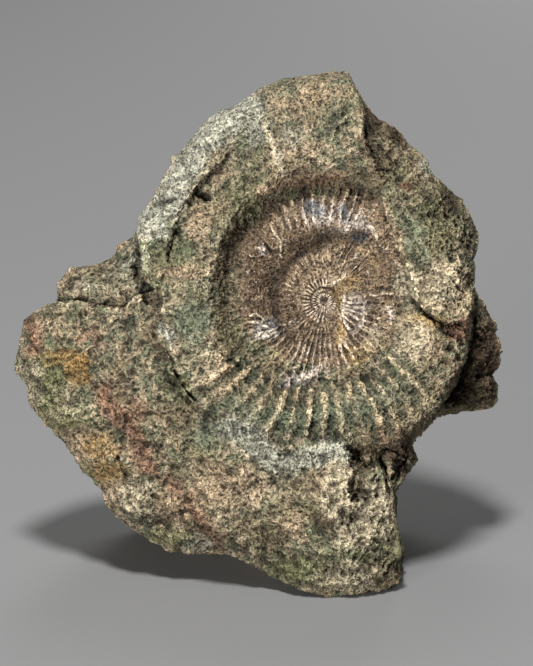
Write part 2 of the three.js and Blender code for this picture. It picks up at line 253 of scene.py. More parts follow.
def carving(x, y):
    """The ribs, beads, folds and splinters of the shell: how far they stand out, in mm."""
    radius, turn, whorl, across, _ = whorl_place(x, y)
    height = np.zeros(x.shape)
    place = (x, y, np.zeros(x.shape))
    worn = RIB_LEFT[0] + RIB_LEFT[1] * lumps(place, 10, 41)
    for number, middle, half, (start, end), count, rise in RIB_FIELDS:
        field = 1 - ease(half - FIELD_EDGE, half + FIELD_EDGE, turned_from(turn, middle))
        far_stray = RIB_STRAY[0] * lump(place, STRAY_LUMP * WHORL_SHRINK ** -number, 43)
        wander = far_stray + RIB_STRAY[1] * lump(place, 3, 44)
        phase = count * turn + RIB_START - RIB_BEND * (across - 0.5) ** 2 + wander
        crest = np.exp(-((phase - np.round(phase)) / RIB_WIDTH) ** 2) - RIB_SINK
        dying = ease(end - RIB_ENDS[1], end + RIB_ENDS[1], across)
        reach = ease(start, start + RIB_ENDS[0], across) * (1 - dying)
        height = height + np.where(whorl == number, rise * field * crest * reach * worn, 0)
    for ring, half, beads, rise, middle, left in BEAD_RINGS:
        gone = ease(left - BEAD_FADE, left, turned_from(turn, middle))
        shape = np.exp(-((radius - ring) / half) ** 4) * (1 - gone)
        wave = np.cos(2 * math.pi * beads * turn + 1.2 * lump(place, 4, 45))
        height = height + rise * shape * (BEAD_LEVEL + (1 - BEAD_LEVEL) * wave)
    for ring, half, deep in EYE_GROOVES:
        height = height - deep * np.exp(-((radius - ring) / half) ** 2) * (0.6 + 0.6 * lump(place, 7, 46))
    for line, half, rise in FOLDS:
        strayed_x = x + FOLD_WANDER * lump(place, 4, 47)
        strayed_y = y + FOLD_WANDER * lump(place, 4, 48)
        distance, part = along_line(strayed_x, strayed_y, line)
        tips = FOLD_TIP + (1 - FOLD_TIP) * tapered(part, FOLD_ENDS)
        height = height + rise * tips * np.exp(-(distance / half) ** 2)
    return height


def blob(x, y, middle, half_size, tilt=0):
    """1 in the middle of a soft patch, falling to 0 outside it."""
    cos, sin = math.cos(math.radians(tilt)), math.sin(math.radians(tilt))
    dx, dy = x - middle[0], y - middle[1]
    out = ((dx * cos + dy * sin) / half_size[0]) ** 2 + ((dy * cos - dx * sin) / half_size[1]) ** 2
    return np.exp(-out ** 1.5)


def shell_height(x, y):
    """The coil without what is carved on it."""
    radius, turn, _, across, outer = whorl_place(x, y)
    looseness = ease(*LOOSENS, turned_from(turn, STEEP_SIDE))
    wall_width = TIGHT_WALL + (LOOSE_WALL - TIGHT_WALL) * looseness
    flank = SEAM_LEVEL + (1 - SEAM_LEVEL) * ease(0, wall_width, across) - FLANK_FALL * ease(0.5, 1, across)
    past = np.maximum((across - 1) / VENTER_WIDTH, 0)
    venter = (1 - FLANK_FALL) * (1 - np.sqrt(np.maximum(1 - past * past, 0)) + np.clip(past - 1, 0, 1))
    coil = WHORL_HEIGHT * outer * (flank - venter)
    closed_seam = ease(*SEAM_CLOSES, turned_from(turn, OPEN_SEAM)) * (1 - ease(*SEAM_WORN_TO, radius))
    worn_centre = CENTRE_WEAR * (1 - ease(*CENTRE_WORN_TO, radius))
    worn_coil = COIL_WEAR * (1 - ease(*COIL_WORN_TO, radius))
    worn = np.maximum.reduce([blob(x, y, *FLAT_PATCH), closed_seam, worn_centre, worn_coil])
    eye = EYE_DEPTH * (1 - ease(0.5 * EYE_RADIUS, 1.2 * EYE_RADIUS, radius))
    return coil + (CONE_SLOPE * radius - coil) * worn - eye


# ---------------------------------------------------------------------------------------------
# The rock over the shell
# Sandstone still covers part of the shell. Each cover has an outline, a surface through a few spot
# heights and a broken edge of its own, whose width is given in mm.
# ---------------------------------------------------------------------------------------------
RIGHT_ROCK = {
    "outline": [
        (11, 125), (13.5, 110), (18.5, 95), (19.5, 80), (22, 70), (29, 57), (30, 45), (33, 33), (37, 22),
        (42, 12), (43.5, 3), (50, -5), (55, -9), (63, -11), (70, -9), (73, -3), (75.5, 8), (95, 20),
        (95, 60), (60, 125),
    ],
    "heights": [
        (16, 100, 13), (25, 85, 12), (40, 78, 8), (49, 66, 17), (30, 70, 16), (26, 62, 19), (34, 50, 18),
        (50, 50, 22), (65, 45, 14), (75, 30, 9), (50, 30, 24), (62, 12, 26), (48, 8, 24), (60, -8, 23),
        (73, 5, 14), (40, 35, 17),
    ],
    "edge": 2.2,
}
REAR_SLAB = {
    "outline": [
        (72.5, 0), (76, -3), (75, -10), (74, -20), (72, -30), (67, -40), (60, -50), (55, -57), (60, -75),
        (110, -75), (110, 10), (76, 10),
    ],
    "heights": [
        (80, -5, -20), (86, -22, -22), (84, -36, -27), (75, -30, -20), (70, -50, -29), (86, -50, -30),
    ],
    "edge": 3,
}
LOWER_ROCK = {
    "outline": [
        (-160, -0.5), (-120, 0.5), (-110, -2), (-100, -3), (-93, 2), (-84, 5), (-81, 6), (-81.5, -8),
        (-82, -20), (-78, -32), (-72, -43), (-62, -54), (-50, -60), (-38, -64), (-28, -71), (-18, -70),
        (-8, -69), (0, -69), (9, -70), (13, -76), (14.5, -84), (12, -92), (14, -99), (24, -99), (34, -98),
        (60, -104), (60, -170), (-170, -170),
    ],
    "heights": [
        (-150, -30, -1), (-150, -50, -4), (-130, -70, -4), (-112, -98, -5), (-120, -20, 9),
        (-120, -50, 6), (-100, -30, 14), (-85, -15, 14), (-85, -45, 15), (-75, -60, 15), (-95, -70, 9),
        (-80, -90, 8), (-85, -118, -6), (-62, -125, -4), (-50, -100, 12), (-45, -75, 18), (-20, -75, 22),
        (-25, -100, 18), (-30, -130, 4), (0, -75, 24), (5, -95, 26), (5, -120, 19), (0, -145, 7),
        (20, -115, 14), (35, -115, 6), (36, -138, 1), (20, -138, 8), (-140, -10, 5), (-105, -8, 12),
    ],
    "edge": 2.5,
}
LEDGE = {
    "outline": [
        (-150, 0), (-150, 30), (-120, 34), (-98, 40), (-93, 30), (-91, 12), (-84, 6), (-93, 2),
        (-100, -3), (-112, -2), (-122, 0.5),
    ],
    "heights": [(-130, 5, 0), (-115, 12, 1), (-100, 20, 1), (-95, 10, 4), (-108, 3, 6), (-95, 30, 0)],
    "edge": 2,
}
NECK = {
    "outline": [(4, -72), (24, -74), (36, -72), (46, -68), (60, -72), (60, -112), (4, -112)],
    "heights": [
        (20, -80, 13), (21, -92, 15), (32, -92, 7), (32, -78, 6), (38, -80, 1), (44, -80, -7),
    ],
    "edge": 7,
}
# An outer skin of rock on the crest: it stands a little proud of the whorl along a dark step.
CREST_SKIN = {
    "outline": [
        (-77, 16), (-76, 28), (-70, 38), (-66, 48), (-61, 57), (-52, 66), (-45, 75), (-37, 84), (-30, 96),
        (-30, 130), (-130, 130), (-100, 42), (-92, 30), (-90, 12), (-82, 10),
    ],
    "rise": 2.8,
    "edge": 1.2,
    "thins": (4, 30),  # in from its edge
    "fades": (-52, -36),  # towards the right
}
RIM_ROUND = 9  # how far in from the rim the face is worn down
RIM_DROP = 6
EDGE_WANDER = 1.5  # how far broken edges stray from their lines
EDGE_LUMP = 7
SPOT_SPREAD = 60  # how softly a surface passes through its spot heights, in square mm
CRACK_ENDS = 0.12  # the part of a crack's length over which it dies away at each end


def depth_inside(x, y, outline):
    """Distance to a closed outline, positive inside it."""
    distance, _ = along_line(x, y, outline, closed=True)
    odd = np.zeros(x.shape, bool)
    for (ax, ay), (bx, by) in zip(outline, outline[1:] + outline[:1]):
        if ay != by:
            odd ^= ((ay > y) != (by > y)) & (x < ax + (y - ay) * (bx - ax) / (by - ay))
    return np.where(odd, distance, -distance)


def spot_height(x, y, spots):
    """A smooth surface through spot heights."""
    total = 0
    weights = 0
    for spot_x, spot_y, height in spots:
        weight = 1 / ((x - spot_x) ** 2 + (y - spot_y) ** 2 + SPOT_SPREAD) ** 2
        total = total + weight * height
        weights = weights + weight
    return total / weights


def cover(height, x, y, rock):
    """Lays a cover of rock over what is there, where it reaches."""
    amount = ease(-rock["edge"] / 2, rock["edge"] / 2, depth_inside(x, y, rock["outline"]))
    return height + (spot_height(x, y, rock["heights"]) - height) * amount


# cracks and steps: line, width and depth in mm
CRACKS = (
    ([(-81, 8), (-81.5, -8), (-80, -20), (-76, -30), (-72, -40), (-66, -47), (-61, -53.5)], 0.7, 3.5),
    ([(-77.5, 17), (-76, 28), (-72, 36)], 0.8, 3.0),
    ([(-73, 33), (-70, 41), (-66, 49)], 2.4, 2.6),
    ([(-67, 46), (-63, 53), (-57, 60), (-50, 67)], 2.0, 2.8),
    ([(-52, 65), (-46, 73)], 1.2, 1.6),
    ([(-40, 78), (-33, 85), (-29, 92)], 1.0, 1.2),
    ([(-85, 46.5), (-80, 48.5), (-74, 49.5)], 1.0, 3.0),
    ([(-135, -0.5), (-120, 0), (-110, -2.5), (-100, -3), (-93, 2)], 0.8, 1.6),
    ([(-119, -4), (-118.5, -13)], 0.8, 2.0),
    ([(-81, -50), (-82, -62), (-80, -74), (-82, -86)], 2.0, 1.6),
    ([(43, 2), (50, -5.5), (55, -9.5), (63, -11.5), (70, -10)], 1.3, 3.5),
    ([(30.5, 44), (33.5, 32), (37.5, 21)], 2.4, 2.6),
    ([(13, -72), (17, -79), (19.5, -88), (20, -97)], 2.6, 3.5),
    ([(22, -76), (25, -84), (24, -92)], 0.7, 2.0),
    ([(27, -76), (30, -84), (30, -92), (33, -99)], 1.6, 5.0),
    ([(38, -78), (36.5, -84), (33, -90)], 0.8, 4.0),
    ([(43, -77), (39, -82), (35, -92)], 1.1, 5.0),
    ([(28, -72), (36, -76), (44, -79)], 0.9, 2.5),
    ([(73, -2), (75, -12), (74, -22), (71, -32), (66, -42), (59, -52)], 2.6, 6.0),
    ([(76, -38), (84, -36.5), (90, -38)], 2.0, 4.0),
    ([(-97, -113), (-88, -112), (-78, -110), (-74, -106), (-64, -103)], 1.2, 2.5),
    ([(-104, -76), (-101, -84), (-97, -88)], 1.4, 2.5),
)
# pits: place, half width, half height, depth in mm
PITS = (
    (-59, 50.5, 3.2, 2.6, 8), (-94, 14, 3.0, 5.0, 6), (-87, 0, 4.5, 9, 3.5), (-97, -3.5, 4.5, 2.5, 2.5),
    (62, -24, 2.2, 2.2, 3.5), (66, -29, 2.0, 3.0, 4), (60, -31, 2.5, 2.0, 3), (68, -20, 2.0, 3.0, 3),
    (64, -14, 6, 5, 3), (-90, -92, 1.8, 1.5, 2), (-84, -97, 1.5, 1.5, 2), (-79, -92, 1.6, 1.4, 1.8),
    (-95, -98, 1.6, 1.2, 2), (-87, -103, 1.4, 1.4, 1.8), (-100, -91, 1.5, 1.8, 2), (20, 30, 5, 4, 1.5),
)


def face_height(x, y, from_rim):
    """The finished face: shell, rock over it, cracks, pits and the worn rim."""
    flat = np.zeros(x.shape)
    wander = EDGE_WANDER * lumps((x, y, flat), EDGE_LUMP, 3, 3)
    sideways = EDGE_WANDER * lumps((x, y, flat + 50), EDGE_LUMP, 4, 3)
    edge_x = x + wander
    edge_y = y + sideways
    height = shell_height(x, y) + carving(x, y)
    skin = depth_inside(edge_x, edge_y, CREST_SKIN["outline"])
    left_over = (1 - ease(*CREST_SKIN["fades"], x)) * (1 - ease(*CREST_SKIN["thins"], skin))
    height = height + CREST_SKIN["rise"] * left_over * ease(-CREST_SKIN["edge"], CREST_SKIN["edge"], skin)
    for rock in (REAR_SLAB, NECK, LEDGE, LOWER_ROCK, RIGHT_ROCK):
        height = cover(height, edge_x, edge_y, rock)
    for line, width, deep in CRACKS:
        distance, part = along_line(x + 0.5 * wander, y + 0.5 * sideways, line)
        height = height - deep * tapered(part, CRACK_ENDS) * np.exp(-(distance / width) ** 2)
    for pit_x, pit_y, wide, tall, deep in PITS:
        out = ((edge_x - pit_x) / wide) ** 2 + ((edge_y - pit_y) / tall) ** 2
        height = height - deep * np.exp(-out ** 2)
    worn = 1 - ease(0, RIM_ROUND, from_rim)
    return height - RIM_DROP * worn * worn


# ---------------------------------------------------------------------------------------------
# The skin of the block
# One closed skin: rings run out over the face from the middle of the coil, down the broken sides
# and in over the back. More spokes are added as the rings widen, so the grain is even.
# ---------------------------------------------------------------------------------------------
BACK_TAPER = 0.1  # how much narrower the block is at the back
BACK_EDGE = 9  # and how far its back edge is rounded in, in mm
# spot depths of the back: right and up from the coil's middle, and behind it
BACK_SPOTS = [
    (-150, -30, 34), (-120, -85, 46), (-115, 5, 34), (-80, -40, 56), (-60, -115, 57), (0, -95, 55),
    (30, -125, 57), (0, 0, 59), (-60, 30, 50), (-75, 75, 40), (60, 20, 47), (80, -35, 44), (65, 50, 40),
    (20, 70, 50), (-30, 95, 44), (10, 112, 43), (40, -60, 57),
]
COIL_RADIUS = 62
FULL_SPOKES = 1200
# belts of rings inside the coil: outer radius in mm, rings and spokes
COIL_BELTS = ((9, 36, 300), (30, 52, 600), (COIL_RADIUS, 72, 1200))
RIM_RINGS = 150
SIDE_RINGS = 84
BACK_RINGS = 64
BACK_SPOKES = 600
RIM_INSET = 0.3
RIM_ROUGHNESS = 0.9
SMOOTHED_OVER = (-12, -6, 0, 6, 12)  # degrees round the rim that are averaged
# sines of the downward angles between which the taper dies away, so that the foot is deep
FOOT_TO_SIDES = (0.2, 0.7)
FOOT_TAPER = 0.1  # the part of the taper that the foot keeps
# parts of the way down the sides: where the rim's roughness ends, where its outline softens, and
# where the sides turn in to the back
ROUGH_TO = (0, 0.12)
SOFTENS = (0.1, 0.6)
TURNS_IN = (0.6, 1)
SOFTENED_BY = 2  # mm at most, outwards


def to_world(x, y, height):
    """Places on the leaning face, in mm, as world points in metres."""
    back = y * math.sin(LEAN) - height * math.cos(LEAN)
    up = y * math.cos(LEAN) + height * math.sin(LEAN)
    return coil_centre + MM * np.stack([x, back, up], axis=-1)


def rim_radius(directions):
    """How far the outline lies from the middle of the coil in each direction."""
    reach = np.zeros(directions.shape)
    cos, sin = np.cos(directions), np.sin(directions)
    for (ax, ay), (bx, by) in zip(BLOCK_OUTLINE, BLOCK_OUTLINE[1:] + BLOCK_OUTLINE[:1]):
        across = cos * (by - ay) - sin * (bx - ax)
        across = np.where(np.abs(across) < 1e-9, 1e-9, across)
        distance = (ax * (by - ay) - ay * (bx - ax)) / across
        along = (ax * sin - ay * cos) / across
        hit = (distance > 0) & (along >= 0) & (along <= 1)
        reach = np.where(hit, np.maximum(reach, distance), reach)
    return reach


def back_height(x, y):
    """An almost upright back, as height over the leaning face."""
    return (y * math.sin(LEAN) - spot_height(x, y, BACK_SPOTS)) / math.cos(LEAN)


all_directions = 2 * math.pi * np.arange(FULL_SPOKES) / FULL_SPOKES
all_cos, all_sin = np.cos(all_directions), np.sin(all_directions)
plain_rim = rim_radius(all_directions) - RIM_INSET
rim_edge = (plain_rim * all_cos, plain_rim * all_sin, np.zeros(FULL_SPOKES))
rim = plain_rim + RIM_ROUGHNESS * lumps(rim_edge, 9, 7, 3)
narrow = 1 - (1 - FOOT_TAPER) * ease(*FOOT_TO_SIDES, -all_sin)
spread_steps = [round(degrees / 360 * FULL_SPOKES) for degrees in SMOOTHED_OVER]
smooth_rim = sum(np.roll(rim, step) for step in spread_steps) / len(spread_steps)
rear = np.minimum(smooth_rim, rim) * (1 - BACK_TAPER * narrow) - BACK_EDGE * narrow

rings = []  # each ring of points: radius, direction, and how far it is from the face's rim
inner_radius = 0
for outer_radius, count, spokes in COIL_BELTS:
    for step in range(count):
        radius = inner_radius + (outer_radius - inner_radius) * step / count
        if radius > 0:
            pick = slice(None, None, FULL_SPOKES // spokes)
            rings.append((np.full(spokes, radius), all_directions[pick], rim[pick] - radius))
    inner_radius = outer_radius
for step in range(RIM_RINGS + 1):
    radius = COIL_RADIUS + (rim - COIL_RADIUS) * step / RIM_RINGS
    rings.append((radius, all_directions, rim - radius))
face_ring_count = len(rings)
face_x = np.concatenate([[0]] + [radius * np.cos(angle) for radius, angle, _ in rings])
face_y = np.concatenate([[0]] + [radius * np.sin(angle) for radius, angle, _ in rings])
from_rim = np.concatenate([[COIL_RADIUS]] + [inward for _, _, inward in rings])
face_z = face_height(face_x, face_y, from_rim)
ring_sizes = [len(radius) for radius, _, _ in rings]

rim_height = face_z[-FULL_SPOKES:]
rear_height = back_height(rear * all_cos, rear * all_sin)
side_x, side_y, side_z = [], [], []
for step in range(1, SIDE_RINGS):
    down = step / SIDE_RINGS
    turned_in = ease(*TURNS_IN, down)
    soft_rim = np.minimum(smooth_rim, plain_rim + SOFTENED_BY)
    calm_rim = plain_rim + (soft_rim - plain_rim) * ease(*SOFTENS, down)
    side = rim + (calm_rim - rim) * ease(*ROUGH_TO, down)
    radius = side * (1 - BACK_TAPER * narrow * down) * (1 - turned_in) + rear * turned_in
    side_x.append(radius * all_cos)
    side_y.append(radius * all_sin)
    side_z.append(rim_height * (1 - down) + rear_height * down)
    ring_sizes.append(FULL_SPOKES)
for step in range(BACK_RINGS):
    pick = slice(None, None, 1 if step == 0 else FULL_SPOKES // BACK_SPOKES)
    radius = rear[pick] * (1 - step / BACK_RINGS)
    side_x.append(radius * all_cos[pick])
    side_y.append(radius * all_sin[pick])
    side_z.append(back_height(side_x[-1], side_y[-1]))
    ring_sizes.append(len(radius))
skin_x = np.concatenate([face_x] + side_x + [[0]])
skin_y = np.concatenate([face_y] + side_y + [[0]])
skin_z = np.concatenate([face_z] + side_z + [[back_height(0, 0)]])


def stitch(first, second):
    """Faces between two neighbouring rings; one may be a point, or have twice the other's points."""
    start_a, count_a = first
    start_b, count_b = second
    if count_a == 1:
        return [(start_a, start_b + (k + 1) % count_b, start_b + k) for k in range(count_b)][::-1]
    if count_b == 1:
        return [(start_a + k, start_a + (k + 1) % count_a, start_b) for k in range(count_a)]
    faces = []
    for k in range(min(count_a, count_b)):
        step_a, step_b = count_a // min(count_a, count_b), count_b // min(count_a, count_b)
        a = [start_a + (k * step_a + j) % count_a for j in range(step_a + 1)]
        b = [start_b + (k * step_b + j) % count_b for j in range(step_b + 1)]
        if step_a == step_b:
            faces.append((a[0], b[0], b[1], a[1]))
        elif step_b == 2:
            faces += [(a[0], b[0], b[1]), (a[0], b[1], a[1]), (a[1], b[1], b[2])]
        else:
            faces += [(a[0], b[0], a[1]), (a[1], b[0], b[1]), (a[1], b[1], a[2])]
    return faces


ring_sizes = [1] + ring_sizes + [1]
ring_starts = np.concatenate([[0], np.cumsum(ring_sizes)])[:-1].tolist()
skin_faces = []
for first, second in zip(zip(ring_starts, ring_sizes), zip(ring_starts[1:], ring_sizes[1:])):
    skin_faces += stitch(first, second)

skin = bpy.data.meshes.new("fossil_stone")
skin.from_pydata(to_world(skin_x, skin_y, skin_z), [], skin_faces)
skin.update()

# ---------------------------------------------------------------------------------------------
# The grain of the stone
# Broken sandstone is rough at every size: lumps where it split, coarse grains, and fine grit. The
# shell and its inner whorls are smoother than the rock round them.
# ---------------------------------------------------------------------------------------------
# lumps: size in mm, layers of noise, and height in mm on rock and on shell
ROUGHNESS = (
    (26, 2, 2.2, 0.0),
    (11, 2, 1.0, 0.5),
    (5, 2, 0.75, 0.35),
)
# thin wandering ridges between the grains: size, and height on rock and on shell
RIDGES = (
    (9.0, 1.1, 0.0),
    (5.0, 1.35, 0.45),
    (2.4, 1.25, 0.45),
    (1.4, 0.65, 0.3),
)
RIDGE_LEVEL = 0.42  # how high a ridge's crest stands, as a part of the height given for it
BIG_LUMPS = 20  # lumps above this size, in mm,
BIG_ON_FACE = 0.25  # have only this much of their height on the face
CAST_SMOOTHNESS = 0.45  # the cast of the last whorl lies this far from rock to shell
SMOOTH_EYE = (2, 22)  # radii between which the shell's centre gets its full roughness
EYE_GRAIN = 0.25  # the roughness at the centre, as a part of the full one
SMOOTH_RIM = (0, 6)  # and distances from the rim
RIM_GRAIN = 0.3  # and the roughness there
SWIRL = 0.7  # how far the ridges are bent, as a part of their size
COVER_EDGE = 1.5  # half width in mm of the change from shell to rock
SHELL_EDGE = 2.5  # and from shell to cast
SHELL_STRAY = 5  # how far that edge strays from its line
# where the brown shell itself is left, over the cast
SHELL_AREA = [
    (-36, 40), (-30, 47), (-12, 52), (27, 53), (30, 45), (34, 30), (40, 16), (44, 3), (37, -4), (35, -12),
    (27, -22), (20, -30), (6, -33), (-8, -33), (-22, -28), (-34, -20), (-40, -8), (-42, 8), (-41, 25),
]


def rock_cover(x, y):
    """1 where rock covers the shell, 0 on bare shell."""
    amount = np.zeros(x.shape)
    for rock in (REAR_SLAB, NECK, LEDGE, LOWER_ROCK, RIGHT_ROCK):
        amount = np.maximum(amount, ease(-COVER_EDGE, COVER_EDGE, depth_inside(x, y, rock["outline"])))
    return amount


face_count = len(face_x)
is_face = np.arange(len(skin_x)) < face_count
cover_amount = np.ones(len(skin_x))
cover_amount[:face_count] = rock_cover(face_x, face_y)
skin_radius = np.hypot(skin_x, skin_y)
wavy_x = face_x + SHELL_STRAY * lumps((face_x, face_y, 0 * face_x), 9, 71, 3)
wavy_y = face_y + SHELL_STRAY * lumps((face_x, face_y, 0 * face_x + 40), 9, 71, 3)
shell_left = np.zeros(len(skin_x))
shell_left[:face_count] = ease(-SHELL_EDGE, SHELL_EDGE, depth_inside(wavy_x, wavy_y, SHELL_AREA))
shell_left = shell_left * (1 - cover_amount)
bareness = np.maximum(shell_left, CAST_SMOOTHNESS * (1 - cover_amount))
eye_fade = ease(*SMOOTH_EYE, skin_radius) * (1 - EYE_GRAIN) + EYE_GRAIN
rim_distance = np.zeros(len(skin_x))
rim_distance[:face_count] = from_rim
inner_skin = ease(*SMOOTH_RIM, rim_distance)
grain_place = (skin_x, skin_y, skin_z)
displaced = np.zeros(len(skin_x))
for size, layers, on_rock, on_shell in ROUGHNESS:
    strength = on_rock + (on_shell - on_rock) * bareness
    if size > BIG_LUMPS:
        strength = np.where(is_face, BIG_ON_FACE * strength, strength)
    displaced = displaced + strength * lumps(grain_place, size, int(10 * size), layers)
ridged = np.zeros(len(skin_x))
for size, on_rock, on_shell in RIDGES:
    strength = on_rock + (on_shell - on_rock) * bareness
    swirl = SWIRL * size * lump(grain_place, 2.2 * size, int(7 * size))
    swirled = (skin_x + swirl, skin_y - swirl, skin_z + swirl)
    off_crest = np.abs(lumps(swirled, size, int(13 * size), 2))
    ridged = ridged + strength * (RIDGE_LEVEL - 2 * off_crest)
displaced = displaced + ridged
displaced = displaced * np.where(is_face, eye_fade * (RIM_GRAIN + (1 - RIM_GRAIN) * inner_skin), 1)
normals = np.empty(3 * len(skin_x), np.float32)
skin.vertex_normals.foreach_get("vector", normals)
points = to_world(skin_x, skin_y, skin_z) + MM * displaced[:, None] * normals.reshape(-1, 3)
skin.vertices.foreach_set("co", points.ravel())
skin.update()

# ---------------------------------------------------------------------------------------------
# Where the colours lie
# Glauconite and moss tint the sandstone green, iron stains it ochre and rust, and a thin pale skin
# of lime is left on the crest. Scraps of mother-of-pearl cling to the inner whorls.
# ---------------------------------------------------------------------------------------------
# Painted shade and highlight: the face is darkened where it lies below the blurred face round it and
# lightened where it stands above, with the stone's lumps counted in.
HOLLOW_GRID = 0.6  # cell in mm of the grid that hollows are measured on
HOLLOW_REACHES = ((3, 0.35), (10, 0.10))  # how wide it is blurred, in cells, and how much that counts
FAR_FROM_RIM = 50.0
LUMP_SHARE = 0.25  # how much the lumps of the stone count beside its hollows


def blurred(grid, reach):
    """The grid with each place averaged with those around it, by a bell curve reach cells wide."""
    offsets = np.arange(-3 * reach, 3 * reach + 1)
    weights = np.exp(-0.5 * (offsets / reach) ** 2)
    weights = weights / weights.sum()
    padded = np.pad(grid, 3 * reach, mode="edge")
    rows = sum(w * padded[k:k + grid.shape[0], :] for k, w in enumerate(weights))
    return sum(w * rows[:, k:k + grid.shape[1]] for k, w in enumerate(weights))


def sample(grid, x, y, left, bottom, cell):
    """The grid's value at each place, between its cells."""
    column = np.clip((x - left) / cell, 0, grid.shape[1] - 1.001)
    row = np.clip((y - bottom) / cell, 0, grid.shape[0] - 1.001)
    c, r = column.astype(int), row.astype(int)
    fc, fr = column - c, row - r
    top = grid[r, c] * (1 - fc) + grid[r, c + 1] * fc
    return top * (1 - fr) + (grid[r + 1, c] * (1 - fc) + grid[r + 1, c + 1] * fc) * fr


left, bottom = min(face_x) - 5, min(face_y) - 5
grid_x, grid_y = np.meshgrid(
    np.arange(left, max(face_x) + 5, HOLLOW_GRID), np.arange(bottom, max(face_y) + 5, HOLLOW_GRID))
grid_height = face_height(grid_x, grid_y, np.full(grid_x.shape, FAR_FROM_RIM))
painted_relief_shade = np.zeros(len(skin_x))
for reach, share in HOLLOW_REACHES:
    around = sample(blurred(grid_height, reach), face_x, face_y, left, bottom, HOLLOW_GRID)
    painted_relief_shade[:face_count] += share * (face_z - around)
painted_relief_shade = np.clip(painted_relief_shade, -1, 1)
painted_relief_shade[:face_count] *= ease(0, RIM_ROUND, from_rim)
painted_relief_shade = np.clip(painted_relief_shade + LUMP_SHARE * (displaced - ridged), -1, 1)

